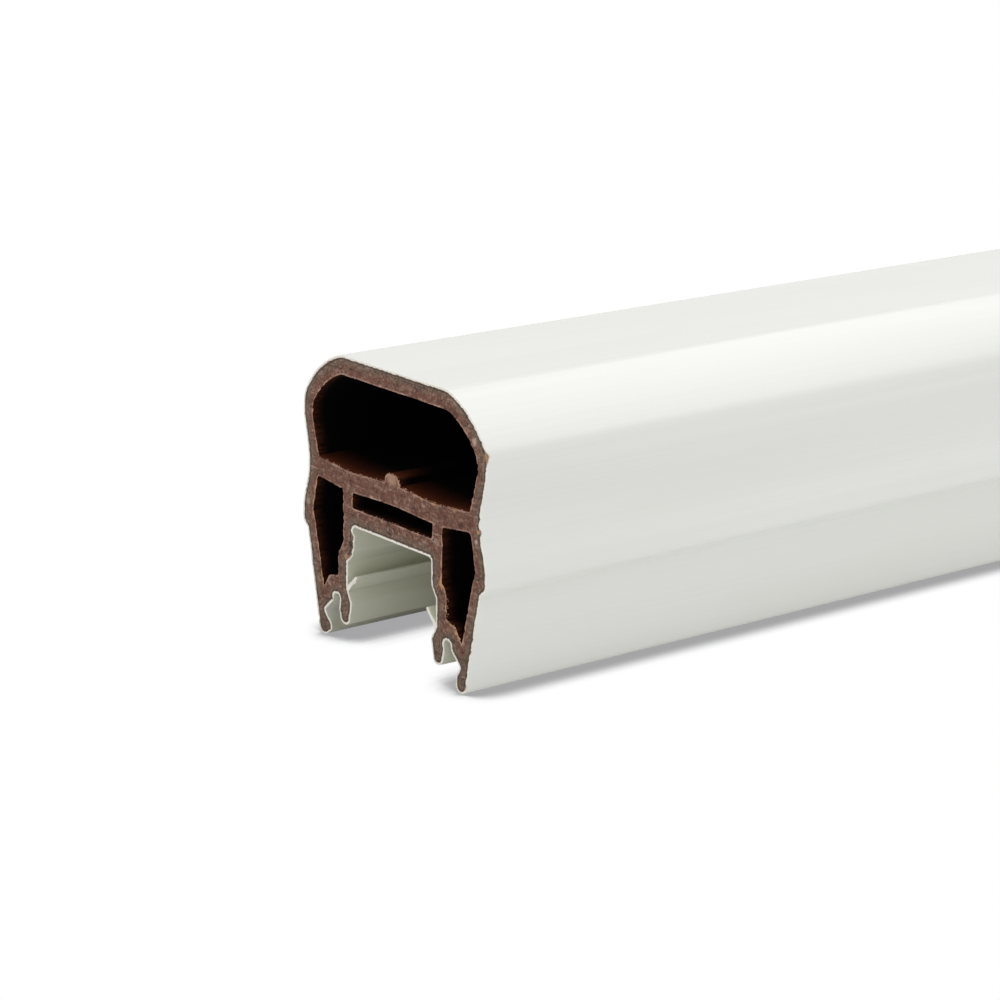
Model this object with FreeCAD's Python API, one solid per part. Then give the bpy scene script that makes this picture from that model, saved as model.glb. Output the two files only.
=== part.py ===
import FreeCAD, Part
import math
import os

# Hollow composite rail: a brown wood-plastic core with four closed chambers, a thin white
# cap extruded all round it, and two white grip lips in the channel that takes the sub-rail.
# Frame: the rail lies along Y and stands on its two feet at z = 0, with the origin under
# its middle. Sizes are in millimetres. Each outline is drawn in XZ for the +X half.

# Whole rail
length = 610.0
overall_width = 89.0          # over the cap, at the lower swell
cap_wall = 0.8

# Heights, from the floor up
channel_depth = 37.1          # floor to the capped ceiling of the channel
plate_wall = 4.8              # channel to middle chamber
middle_height = 4.7           # middle chamber at its ends
middle_arch = 0.8             # rise of its roof at the centre
deck_wall = 6.2               # middle chamber to crown chamber
deck_sag = 1.1                # dip of the deck either side of the rib
crown_clear = 27.7            # crown chamber, deck to roof
crown_wall = 5.1

# Walls across
side_wall = 3.7               # crown chamber to the outside
flank_wall = 4.2              # leg chamber to the outside, at the lower swell
skirt_wall = 3.2              # leg chamber to the outside, below the step
toe_wall = 4.1                # the same at the chamber's lowest point
web_wall = 4.6                # middle chamber to leg chamber
leg_wall = 4.0                # leg chamber to the channel

# Outside of the crown. A setback is measured in from the side, and a fall down from the top.
crown_flat = 50.0
crown_setback = 0.3           # upper swell, in from the lower swell
waist_setback = 3.5           # where the waist's two slopes would cross
shoulder_setback = 7.0        # shoulder's knee, in from the upper swell
shoulder_fall = 3.7
brow_fall = 14.6              # top to the upper swell
brow_height = 6.3             # height of the upper swell's straight side
waist_drop = 3.2              # waist below the crown chamber's deck

# Crown chamber, against the outside of the crown
roof_setback = 2.8            # its shoulder's knee, in from the outer one
roof_fall = 3.2
cheek_lift = 4.4              # height of the straight side
rib_width = 6.8
rib_height = 3.0
rib_taper = 0.3

# Outside of the leg
swell_rise = 1.8              # above the channel's ceiling
swell_height = 5.8
step_in = 2.3
step_height = 2.3

# Channel and its undercut
channel_width = 38.4          # between the capped walls
undercut = 2.4                # how far the wall steps back lower down
jog_drop = 8.5                # ceiling to the start of that step
jog_height = 3.8
undercut_floor = 17.0

# Hook, snap groove and foot
hook_bottom = 5.8
hook_wall = 4.7
hook_toe = 2.6                # width of its flat end
nose_height = 12.9
nose_reach = 0.2              # how far the nose stops short of the channel wall's line
barb_height = 9.9
barb_reach = 0.3
groove_top = 14.3
groove_neck = 4.5
groove_flare = 0.4
flare_drop = 2.2
groove_mouth = 7.4
pocket_reach = 9.3
pocket_height = 8.1
foot_wall = 2.9
toe_lift = 4.6

# Leg chamber
chamber_roof_rise = 1.5
chamber_low = 14.6
sill_height = 20.2
sill_fall = 1.0
sill_run = 2.8

# Grip lips
lip_wall = 0.9
lip_root_wall = 1.35
lip_reach = 4.4
lip_rise = 4.6
lip_height = 17.2             # where the middle of the root meets the cap
lip_buried = 1.2              # drawn this far into the wall, then trimmed to the cap

# Corner radii
brow_radius = 6.0
shoulder_radius = 31.0
roof_radius = 28.0
cheek_radius = 7.0
waist_radius = 20.0
swell_radius = 3.0
step_radius = 1.3
foot_radius = 1.7
pocket_radius = 1.5
groove_radius = 2.1
hook_radius = 1.25
nose_radius = 1.0
undercut_radius = 1.6
channel_radius = 2.2
deck_radius = 60.0
rib_radius = 2.3
rib_root_radius = 0.6
chamber_radius = 0.8
chamber_toe_radius = 0.4
lip_tip_radius = 0.38
sharp = 0.1

# Worked out from the above, for the bare core
core_low = cap_wall
ceiling = channel_depth + cap_wall
middle_floor = ceiling + plate_wall
middle_roof = middle_floor + middle_height
deck = middle_roof + middle_arch + deck_wall
crown_roof = deck + crown_clear
core_top = crown_roof + crown_wall
overall_height = core_top + cap_wall
crown_edge = crown_flat / 2
swell_x = overall_width / 2 - cap_wall
crown_x = swell_x - crown_setback
waist_x = swell_x - waist_setback
shoulder_x = crown_x - shoulder_setback
swell_top = ceiling + swell_rise
swell_low = swell_top - swell_height
step_x = swell_x - step_in
step_z = swell_low - step_height
channel_x = channel_width / 2 + cap_wall
undercut_x = channel_x + undercut
jog_top = ceiling - jog_drop
jog_low = jog_top - jog_height
leg_x = channel_x + leg_wall
middle_x = leg_x - web_wall
hook_x = channel_x + hook_wall
neck_x = hook_x + groove_neck
foot_x = hook_x + groove_mouth
foot_outer_x = foot_x + foot_wall


def rounded_wire(corners):
    # Closed wire through (x, z, radius) corners. Each corner becomes a tangent arc, and
    # two arcs that would meet on one edge are both reduced until they fit it.
    points = [FreeCAD.Vector(x, -length / 2, z) for x, z, radius in corners]
    count = len(points)
    turns = []
    for index, point in enumerate(points):
        back = (points[index - 1] - point).normalize()
        ahead = (points[(index + 1) % count] - point).normalize()
        half_angle = back.getAngle(ahead) / 2
        turns.append((back, ahead, half_angle))
    reach = [corners[i][2] / math.tan(turns[i][2]) for i in range(count)]
    share = [1.0] * count
    for index in range(count):
        after = (index + 1) % count
        room = points[index].distanceToPoint(points[after]) * 0.98
        fitted = min(1.0, room / (reach[index] + reach[after]))
        share[index] = min(share[index], fitted)
        share[after] = min(share[after], fitted)
    arcs = []
    for point, (back, ahead, half_angle), tangent, part in zip(points, turns, reach, share):
        tangent = tangent * part
        inward = (back + ahead).normalize()
        to_centre = tangent / math.cos(half_angle)
        middle = point + inward * (to_centre - tangent * math.tan(half_angle))
        arcs.append((point + back * tangent, middle, point + ahead * tangent))
    edges = []
    for arc, following in zip(arcs, arcs[1:] + arcs[:1]):
        edges.append(Part.Arc(*arc).toShape())
        edges.append(Part.LineSegment(arc[2], following[0]).toShape())
    return Part.Wire(edges)


def mirrored(corners):
    return [(-x, z, radius) for x, z, radius in reversed(corners)]


def bar(wire):
    return Part.Face(wire).extrude(FreeCAD.Vector(0, length, 0))


def crown_outline():
    return [
        (crown_edge, core_top, brow_radius),
        (shoulder_x, core_top - shoulder_fall, shoulder_radius),
        (crown_x, core_top - brow_fall, cheek_radius),
        (crown_x, core_top - brow_fall - brow_height, cheek_radius),
        (waist_x, deck - waist_drop, waist_radius),
    ]


def leg_outline():
    groove_roof = groove_top + cap_wall
    hook_low = hook_bottom + cap_wall
    return [
        (swell_x, swell_top, swell_radius),
        (swell_x, swell_low, step_radius),
        (step_x, step_z, step_radius),
        (foot_outer_x, core_low, foot_radius),
        (foot_x, core_low, foot_radius),
        (foot_x, toe_lift, step_radius),
        (hook_x + pocket_reach, pocket_height, pocket_radius),
        (neck_x + groove_flare, groove_top - flare_drop, groove_radius),
        (neck_x, groove_roof, groove_radius),
        (hook_x - barb_reach, groove_roof, groove_radius),
        (hook_x + barb_reach, barb_height, swell_radius),
        (hook_x - hook_radius / 2, hook_low, hook_radius),
        (hook_x - hook_radius / 2 - hook_toe, hook_low, hook_radius),
        (channel_x + nose_reach, nose_height, nose_radius),
    ]


def channel_outline():
    return [
        (undercut_x, undercut_floor, undercut_radius),
        (undercut_x, jog_low, undercut_radius),
        (channel_x, jog_top, undercut_radius),
        (channel_x, ceiling, channel_radius),
    ]


def core_outline():
    half = crown_outline() + leg_outline() + channel_outline()
    return half + mirrored(half)


def crown_chamber():
    # The roof follows the shoulders, and the deck dips either side of the rib.
    rib_x = rib_width / 2
    corner_x = waist_x - side_wall
    side_x = crown_x - side_wall
    side_low = core_top - brow_fall - brow_height
    roof_x = crown_edge + rib_taper
    half = [
        (rib_x - rib_taper, deck + rib_height, rib_radius),
        (rib_x, deck, rib_root_radius),
        ((rib_x + corner_x) / 2, deck - deck_sag, deck_radius),
        (corner_x, deck + rib_taper, nose_radius),
        (side_x, side_low, cheek_radius),
        (side_x, side_low + cheek_lift, cheek_radius),
        (shoulder_x - roof_setback, crown_roof - roof_fall, roof_radius),
        (roof_x, crown_roof, brow_radius),
    ]
    return half + mirrored(half)


def middle_chamber():
    return [
        (middle_x, middle_floor, chamber_radius),
        (middle_x, middle_roof, chamber_radius),
        (0, middle_roof + middle_arch, deck_radius),
        (-middle_x, middle_roof, chamber_radius),
        (-middle_x, middle_floor, chamber_radius),
    ]


def leg_chamber():
    # Its outer side follows the leg's flank, and its inner side the channel's step.
    slope = (step_x - foot_outer_x) / (step_z - core_low)
    low_x = step_x - slope * (step_z - chamber_low) - toe_wall
    inner_x = leg_x + undercut
    return [
        (leg_x, middle_roof, chamber_radius),
        (waist_x - side_wall + step_radius / 2, middle_roof + chamber_roof_rise, undercut_radius),
        (swell_x - flank_wall, swell_top - swell_height / 3, step_radius),
        (step_x - slope - skirt_wall, step_z + step_radius, swell_radius),
        (low_x, chamber_low, chamber_toe_radius),
        (low_x - sill_run, sill_height - sill_fall, undercut_radius),
        (inner_x, sill_height, chamber_radius),
        (inner_x, jog_low + undercut_radius, undercut_radius),
        (leg_x, jog_top + undercut_radius, undercut_radius),
    ]


def grip_lip():
    # A thin fin that springs from the foot of the undercut and leans in and up.
    lean = math.hypot(lip_reach, lip_rise)
    along_x = -lip_reach / lean
    along_z = lip_rise / lean
    face_x = undercut_x - cap_wall
    root_x = face_x - along_x * lip_buried
    root_z = lip_height - along_z * lip_buried
    tip_x = face_x - lip_reach
    tip_z = lip_height + lip_rise
    root_half = lip_root_wall / 2
    tip_half = lip_wall / 2
    return [
        (root_x + along_z * root_half, root_z - along_x * root_half, sharp),
        (root_x - along_z * root_half, root_z + along_x * root_half, sharp),
        (tip_x - along_z * tip_half, tip_z + along_x * tip_half, lip_tip_radius),
        (tip_x + along_z * tip_half, tip_z - along_x * tip_half, lip_tip_radius),
    ]


def composite_core():
    core = bar(rounded_wire(core_outline()))
    leg = leg_chamber()
    for hollow in (crown_chamber(), middle_chamber(), leg, mirrored(leg)):
        core = core.cut(bar(rounded_wire(hollow)))
    return core


def cap_envelope():
    # The filled outline over the cap.
    return bar(rounded_wire(core_outline()).makeOffset2D(cap_wall))


def one_solid(node, shape):
    if len(shape.Solids) != 1 or not shape.isValid():
        raise ValueError("%s has %d solids" % (node, len(shape.Solids)))
    return shape.Solids[0]


envelope = cap_envelope()
lip = grip_lip()
pieces = {
    "composite_core": composite_core(),
    "cap_skin": envelope.cut(bar(rounded_wire(core_outline()))),
    "grip_lip_right": bar(rounded_wire(lip)).cut(envelope),
    "grip_lip_left": bar(rounded_wire(mirrored(lip))).cut(envelope),
}

os.makedirs("parts", exist_ok=True)
for node, shape in pieces.items():
    one_solid(node, shape).exportStep("parts/%s.step" % node)
    box = shape.BoundBox
    print("%-16s %8.0f mm3  x %.2f..%.2f  z %.2f..%.2f" % (
        node, shape.Volume, box.XMin, box.XMax, box.ZMin, box.ZMax))
print("overall %.1f x %.1f x %.1f" % (overall_width, length, overall_height))
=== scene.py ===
import math
import random

import bmesh
import bpy
import numpy as np
from mathutils import Matrix, Vector, noise
from mathutils.geometry import delaunay_2d_cdt


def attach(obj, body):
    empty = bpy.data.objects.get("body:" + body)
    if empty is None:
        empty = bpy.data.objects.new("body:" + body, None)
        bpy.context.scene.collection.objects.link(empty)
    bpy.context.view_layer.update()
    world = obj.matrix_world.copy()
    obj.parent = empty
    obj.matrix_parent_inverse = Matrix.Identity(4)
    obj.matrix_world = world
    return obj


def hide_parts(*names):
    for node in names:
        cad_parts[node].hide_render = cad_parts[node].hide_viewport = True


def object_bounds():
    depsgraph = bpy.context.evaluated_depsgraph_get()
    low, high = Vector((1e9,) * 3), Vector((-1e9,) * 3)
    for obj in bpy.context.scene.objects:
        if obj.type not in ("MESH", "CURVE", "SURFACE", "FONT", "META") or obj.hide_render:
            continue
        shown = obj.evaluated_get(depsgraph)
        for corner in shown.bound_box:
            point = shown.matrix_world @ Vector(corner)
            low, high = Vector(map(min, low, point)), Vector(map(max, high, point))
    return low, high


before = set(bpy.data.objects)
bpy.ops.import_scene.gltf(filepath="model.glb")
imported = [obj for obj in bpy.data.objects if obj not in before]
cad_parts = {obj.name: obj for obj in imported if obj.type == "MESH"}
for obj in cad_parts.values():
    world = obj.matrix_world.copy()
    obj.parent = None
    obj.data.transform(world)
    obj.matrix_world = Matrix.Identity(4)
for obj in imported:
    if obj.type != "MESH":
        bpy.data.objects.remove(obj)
cadLow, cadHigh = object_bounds()
mm = 0.001
weld = 0.004 * mm                 # points closer than this are one point
railLength = (cadHigh.y - cadLow.y) / mm
railWidth = (cadHigh.x - cadLow.x) / mm
railHeight = (cadHigh.z - cadLow.z) / mm
print("frame: %.1f x %.1f x %.1f mm" % (railWidth, railLength, railHeight))


# Kinds of socket a tree's inputs have.
socketKinds = {
    "Geometry": "NodeSocketGeometry",
    "Finish": "NodeSocketMaterial",
    "Rows": "NodeSocketInt",
    "Seed": "NodeSocketInt",
}


class Wire:
    # One socket of a node tree. Arithmetic on it adds Math nodes.
    def __init__(self, book, socket):
        self.book = book
        self.socket = socket

    def pick(self, name):
        return Wire(self.book, self.socket.node.outputs[name])

    def maths(self, operation, *values):
        links = dict(enumerate(values))
        return self.book.node("ShaderNodeMath", {"operation": operation}, links)

    def __add__(self, other):
        return self.maths("ADD", self, other)

    def __radd__(self, other):
        return self.maths("ADD", other, self)

    def __sub__(self, other):
        return self.maths("SUBTRACT", self, other)

    def __rsub__(self, other):
        return self.maths("SUBTRACT", other, self)

    def __mul__(self, other):
        return self.maths("MULTIPLY", self, other)

    def __rmul__(self, other):
        return self.maths("MULTIPLY", other, self)

    def __truediv__(self, other):
        return self.maths("DIVIDE", self, other)

    def __rtruediv__(self, other):
        return self.maths("DIVIDE", other, self)

    def __pow__(self, other):
        return self.maths("POWER", self, other)

    def __mod__(self, other):
        return self.maths("MODULO", self, other)

    def __abs__(self):
        return self.maths("ABSOLUTE", self)

    def floor(self):
        return self.maths("FLOOR", self)

    def sign(self):
        return self.maths("SIGN", self)


class Book:
    # The nodes of one tree.
    def __init__(self, tree):
        self.tree = tree
        self.count = 0

    def node(self, kind, settings=None, links=None, output=0):
        made = self.tree.nodes.new(kind)
        made.location = (220 * (self.count % 12), -260 * (self.count // 12))
        self.count += 1
        for name, value in (settings or {}).items():
            setattr(made, name, value)
        for name, value in (links or {}).items():
            if isinstance(value, Wire):
                self.tree.links.new(value.socket, made.inputs[name])
            else:
                made.inputs[name].default_value = value
        return Wire(self, made.outputs[output]) if len(made.outputs) else made

    def ramp(self, value, low, high):
        # 0 at low, 1 at high, easing in and out.
        settings = {"interpolation_type": "SMOOTHSTEP"}
        links = {"Value": value, "From Min": low, "From Max": high}
        return self.node("ShaderNodeMapRange", settings, links)

    def mix(self, share, first, second):
        return self.node("ShaderNodeMix", {"data_type": "RGBA"}, {0: share, 6: first, 7: second}, 2)

    def part(self, vector, axis):
        return self.node("ShaderNodeSeparateXYZ", {}, {"Vector": vector}, axis)

    def painted(self, name):
        # A value stored on the mesh's points.
        return self.node("ShaderNodeAttribute", {"attribute_name": name}, {}, "Fac")

    def noise(self, place, scale, detail, rough, seed):
        links = {"Vector": place, "W": seed, "Scale": scale, "Detail": detail, "Roughness": rough}
        return self.node("ShaderNodeTexNoise", {"noise_dimensions": "4D"}, links)

    def stretched(self, place, x, y, z):
        return self.node("ShaderNodeMapping", {}, {"Vector": place, "Scale": (x, y, z)})


def newTree(name, inputs):
    # An empty tree that takes a mesh and the named inputs, and gives a mesh.
    tree = bpy.data.node_groups.new(name, "GeometryNodeTree")
    for label in ["Geometry"] + inputs:
        kind = socketKinds.get(label, "NodeSocketFloat")
        tree.interface.new_socket(label, in_out="INPUT", socket_type=kind)
    tree.interface.new_socket("Geometry", in_out="OUTPUT", socket_type=socketKinds["Geometry"])
    return tree


def closeTree(book, geometry, finish):
    solid = book.node("GeometryNodeRealizeInstances", {}, {"Geometry": geometry})
    painted = book.node("GeometryNodeSetMaterial", {}, {"Geometry": solid, "Material": finish})
    book.node("NodeGroupOutput", {}, {"Geometry": painted})


def paint(red, green, blue):
    # A colour as a paint chart gives it, made linear.
    def linear(value):
        value = value / 255
        return value / 12.92 if value <= 0.04045 else ((value + 0.055) / 1.055) ** 2.4
    return (linear(red), linear(green), linear(blue), 1.0)


def newMaterial(name):
    material = bpy.data.materials.new(name)
    material.use_nodes = True
    material.node_tree.nodes.clear()
    book = Book(material.node_tree)
    place = book.node("ShaderNodeTexCoord", {}, {}, "Object")
    inMillimetres = book.node("ShaderNodeVectorMath", {"operation": "SCALE"}, {0: place, 3: 1 / mm})
    return material, book, inMillimetres


def finishMaterial(book, colour, roughness, height, fixed, strength=1.0):
    # The height is in millimetres. What is fixed holds over the whole surface.
    bump = book.node("ShaderNodeBump", {}, {"Strength": strength, "Distance": mm, "Height": height})
    links = {"Base Color": colour, "Roughness": roughness, "Normal": bump}
    links.update(fixed)
    shader = book.node("ShaderNodeBsdfPrincipled", {}, links)
    book.node("ShaderNodeOutputMaterial", {}, {"Surface": shader})


capFinish = {
    "colour": paint(233, 234, 229),
    "shade": paint(230, 231, 225),
    # a darker, yellower copy of the cap colour: painted shade inside the channel
    "channel": paint(222, 222, 205),
    "roughness": 0.22,
    "refraction": {"IOR": 1.46},
    "dieLines": 0.004,            # depth of the extrusion lines, mm
    "grain": 0.0015,
    # Where the channel's painted shade starts and is full, out from the middle and up, mm.
    "channelShadeSides": (33.0, 31.0),
    "channelShadeRoof": (39.2, 38.6),
}


def makeCapFinish():
    # Satin white cap with faint lines from the extrusion die along its length.
    material, book, place = newMaterial("satinCap")
    lines = book.noise(book.stretched(place, 1.0, 0.004, 1.0), 1.6, 2.0, 0.5, 3.0)
    broad = book.noise(book.stretched(place, 1.0, 0.12, 1.0), 0.05, 2.0, 0.5, 7.0)
    grain = book.noise(place, 2.2, 3.0, 0.6, 11.0)
    tone = book.ramp(broad * 0.6 + lines * 0.4, 0.38, 0.66)
    colour = book.mix(tone, capFinish["shade"], capFinish["colour"])
    # Painted shade: inside the channel the cap is coloured darker and slightly yellower.
    between = book.ramp(abs(book.part(place, "X")), *capFinish["channelShadeSides"])
    inChannelShade = between * book.ramp(book.part(place, "Z"), *capFinish["channelShadeRoof"])
    colour = book.mix(inChannelShade, colour, capFinish["channel"])
    roughness = capFinish["roughness"] + (broad - 0.5) * 0.08 + (lines - 0.5) * 0.03
    height = lines * capFinish["dieLines"] + grain * capFinish["grain"]
    finishMaterial(book, colour, roughness, height, capFinish["refraction"])
    return material


cutEdgeFinish = {
    "cream": paint(246, 240, 228),
    "white": paint(255, 252, 245),
    "smear": paint(150, 122, 104),
}


def makeCutEdgeFinish():
    # Sawn edge of the cap: paler, with a little brown dragged across it by the blade.
    material, book, place = newMaterial("sawnCapEdge")
    across = book.painted("acrossWall")
    patches = book.noise(place, 0.9, 3.0, 0.6, 2.0)
    fine = book.noise(place, 4.0, 2.0, 0.6, 5.0)
    colour = book.mix(book.ramp(patches, 0.4, 0.65), cutEdgeFinish["cream"], cutEdgeFinish["white"])
    dragged = book.ramp(patches + fine * 0.35 - across * 0.55, 0.50, 0.66)
    colour = book.mix(dragged, colour, cutEdgeFinish["smear"])
    finishMaterial(book, colour, 0.55 + fine * 0.2, fine * 0.04, capFinish["refraction"])
    return material


cutFinish = {
    "brown": paint(124, 89, 72),
    "red": paint(120, 77, 62),
    "olive": paint(119, 99, 84),
    "pale": paint(200, 172, 154),
    "tan": paint(202, 154, 112),
    "dark": paint(40, 27, 22),
    "rimPink": paint(208, 168, 148),
    "rimDark": paint(62, 52, 44),
    "refraction": {"IOR": 1.45},
    "spotReach": (15.0, 5.0),     # how far from the near end the spots start and are full, mm
}

# Raw wood showing on the near sawn face: x, z and radius in mm, and how much it shows.
tanSpots = [
    (-0.2, 56.4, 3.4, 0.38),
    (14.1, 53.8, 1.2, 0.8),
    (19.7, 53.9, 1.5, 0.9),
    (29.5, 54.2, 1.3, 0.7),
    (24.3, 30.4, 1.8, 0.9),
    (28.7, 20.2, 1.3, 0.8),
    (31.2, 17.8, 1.1, 0.9),
    (43.6, 72.0, 1.6, 0.5),
    (40.6, 49.8, 0.9, 0.8),
    (-22.3, 27.0, 1.4, 0.7),
]
paleSpots = [
    (-0.2, 56.4, 3.4, 0.3),
    (39.7, 46.8, 0.9, 0.8),
    (38.2, 75.6, 1.5, 0.8),
    (-41.9, 39.8, 1.4, 0.5),
]


def makeCutFinish():
    # Sawn wood-plastic: mottled browns, pale flakes, dark pits and blade streaks.
    material, book, place = newMaterial("sawnComposite")
    inner = book.painted("chamberRim")
    outer = book.painted("outsideRim")
    facing = book.painted("rimFacing")
    patches = book.noise(place, 0.16, 3.0, 0.6, 1.0)
    clouds = book.noise(place, 0.55, 4.0, 0.65, 4.0)
    grit = book.noise(place, 1.25, 3.0, 0.7, 9.0)
    warmth = book.ramp(patches * 0.7 + book.painted("skinDepth") * 0.75 + clouds * 0.3, 0.66, 1.02)
    colour = book.mix(warmth, cutFinish["olive"], cutFinish["red"])
    colour = book.mix(book.ramp(clouds, 0.44, 0.64) * 0.8, colour, cutFinish["brown"])
    # Broad light and dark mottling, drawn out along the walls.
    mottle = book.noise(book.stretched(place, 0.55, 1.0, 1.0), 0.46, 3.0, 0.6, 27.0)
    colour = book.mix(book.ramp(mottle, 0.54, 0.76) * 0.52, colour, cutFinish["pale"])
    colour = book.mix(book.ramp(mottle, 0.46, 0.26) * 0.66, colour, cutFinish["dark"])
    # Grains of wood flour, some dark and some pale.
    colour = book.mix(book.ramp(grit, 0.50, 0.36) * 0.50, colour, cutFinish["dark"])
    colour = book.mix(book.ramp(grit + clouds * 0.4, 0.74, 0.88) * 0.40, colour, cutFinish["pale"])
    # The flour lies along the walls, so its flakes are drawn out with them.
    flakes = book.node("ShaderNodeTexVoronoi", {"feature": "F1", "distance": "EUCLIDEAN"},
                       {"Vector": book.stretched(place, 0.7, 1.0, 1.5), "Scale": 1.0})
    flakeTone = book.ramp(flakes, 0.26, 0.10)
    colour = book.mix(flakeTone * book.ramp(clouds, 0.46, 0.58) * 0.30, colour, cutFinish["pale"])
    # Streaks where the blade's teeth dragged.
    streaks = book.noise(book.stretched(place, 0.12, 1.0, 1.5), 0.9, 2.0, 0.5, 14.0)
    colour = book.mix(book.ramp(streaks, 0.64, 0.74) * 0.40, colour, cutFinish["pale"])
    colour = book.mix(book.ramp(streaks, 0.38, 0.30) * 0.5, colour, cutFinish["dark"])
    pits = book.ramp(book.noise(place, 1.3, 2.0, 0.5, 21.0), 0.36, 0.28)
    colour = book.mix(pits * 0.8, colour, cutFinish["dark"])
    # Darker where it met the cap, paler along the chambers where the blade burred it.
    outerBand = book.ramp(outer + (grit - 0.5) * 0.8, 0.25, 0.75)
    colour = book.mix(outerBand * 0.70, colour, cutFinish["rimDark"])
    innerBand = book.ramp(inner + (clouds - 0.5) * 1.3, 0.35, 0.80)
    colour = book.mix(innerBand * book.ramp(mottle, 0.34, 0.62) * 0.62, colour, cutFinish["rimPink"])
    tanBand = innerBand * book.ramp(facing, 0.1, 0.8) * book.ramp(clouds + patches * 0.5, 0.68, 0.84)
    colour = book.mix(tanBand * 0.75, colour, cutFinish["tan"])
    flat = book.node("ShaderNodeVectorMath", {"operation": "MULTIPLY"}, {0: place, 1: (1.0, 0.0, 1.0)})
    start, full = cutFinish["spotReach"]
    near = book.ramp(book.part(place, "Y"), start - railLength / 2, full - railLength / 2)
    distance = {"operation": "DISTANCE"}
    for spots, tone in ((tanSpots, "tan"), (paleSpots, "pale")):
        for x, z, radius, share in spots:
            gap = book.node("ShaderNodeVectorMath", distance, {0: flat, 1: (x, 0.0, z)}, "Value")
            shown = book.ramp(gap + (grit - 0.5) * 2.2 * radius, radius, radius * 0.35)
            colour = book.mix(shown * near * share, colour, cutFinish[tone])
    height = grit * 0.16 + clouds * 0.14 + streaks * 0.10 - pits * 0.25
    finishMaterial(book, colour, 0.72 + grit * 0.2, height, cutFinish["refraction"])
    return material


chamberFinish = {
    "near": paint(58, 27, 17),
    "streak": paint(92, 48, 28),
    # near-black, for dark flecks and for the painted shade deep in the chambers
    "darkFlecksAndShade": paint(3, 2, 2),
    # a lighter copy of the skin colour: painted light on the crown chamber's floor
    "floor": paint(104, 48, 26),
    "gloss": {"Specular IOR Level": 0.08},
    "bump": 0.8,
    "fade": 7.0,                  # distance from the sawn end over which the painted shade darkens it, mm
    "floorLightReach": 20.0,            # how far in from the sawn end the painted light on the crown chamber's floor reaches, mm
    "crownHeight": 50.0,          # above this a floor is the crown chamber's
}


def makeChamberFinish():
    # Skin of the composite, as it left the die: dark red-brown, drawn out lengthwise, with painted shade
    # that darkens it towards black further in from the sawn end.
    material, book, place = newMaterial("chamberSkin")
    facing = book.node("ShaderNodeNewGeometry", {}, {}, "Normal")
    depth = railLength / 2 - abs(book.part(place, "Y"))
    drawn = book.noise(book.stretched(place, 1.0, 0.05, 1.0), 1.1, 4.0, 0.65, 6.0)
    spots = book.noise(place, 0.9, 4.0, 0.65, 8.0)
    colour = book.mix(book.ramp(drawn, 0.40, 0.66), chamberFinish["near"], chamberFinish["streak"])
    # Painted shade: darker further in from the sawn end.
    dark = book.ramp(depth + spots * 4.0, 1.0, chamberFinish["fade"])
    colour = book.mix(book.ramp(spots, 0.52, 0.36) * 0.8, colour, chamberFinish["darkFlecksAndShade"])
    colour = book.mix(dark, colour, chamberFinish["darkFlecksAndShade"])
    # Painted light: the crown's up-facing floor is given a lighter copy of the skin colour, reaching
    # further in than the painted shade lets the narrow chambers' walls.
    upward = book.ramp(book.part(facing, "Z"), 0.4, 0.9)
    crownHeight = chamberFinish["crownHeight"]
    crown = book.ramp(book.part(place, "Z"), crownHeight - 0.5, crownHeight + 0.5)
    edge = book.ramp(depth + spots * 10.0, chamberFinish["floorLightReach"], 2.0)
    colour = book.mix(upward * crown * edge * 0.72, colour, chamberFinish["floor"])
    height = drawn * 0.12 + spots * 0.10
    roughness = 0.78 + drawn * 0.15
    finishMaterial(book, colour, roughness, height, chamberFinish["gloss"], chamberFinish["bump"])
    return material


fringeFinish = {
    "tan": paint(214, 168, 136),
    "brown": paint(158, 112, 86),
}


def makeFringeFinish():
    # Crumbs of torn wood, paler than the sawn face.
    material, book, place = newMaterial("tornFibre")
    shades = book.noise(place, 1.2, 2.0, 0.5, 2.0)
    fine = book.noise(place, 6.0, 2.0, 0.5, 3.0)
    colour = book.mix(book.ramp(shades, 0.38, 0.6), fringeFinish["brown"], fringeFinish["tan"])
    finishMaterial(book, colour, 0.8 + fine * 0.1, fine * 0.03, cutFinish["refraction"])
    return material


satinCap = makeCapFinish()
sawnCapEdge = makeCutEdgeFinish()
sawnComposite = makeCutFinish()
chamberSkin = makeChamberFinish()
tornFibre = makeFringeFinish()
print("finishes made")


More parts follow.
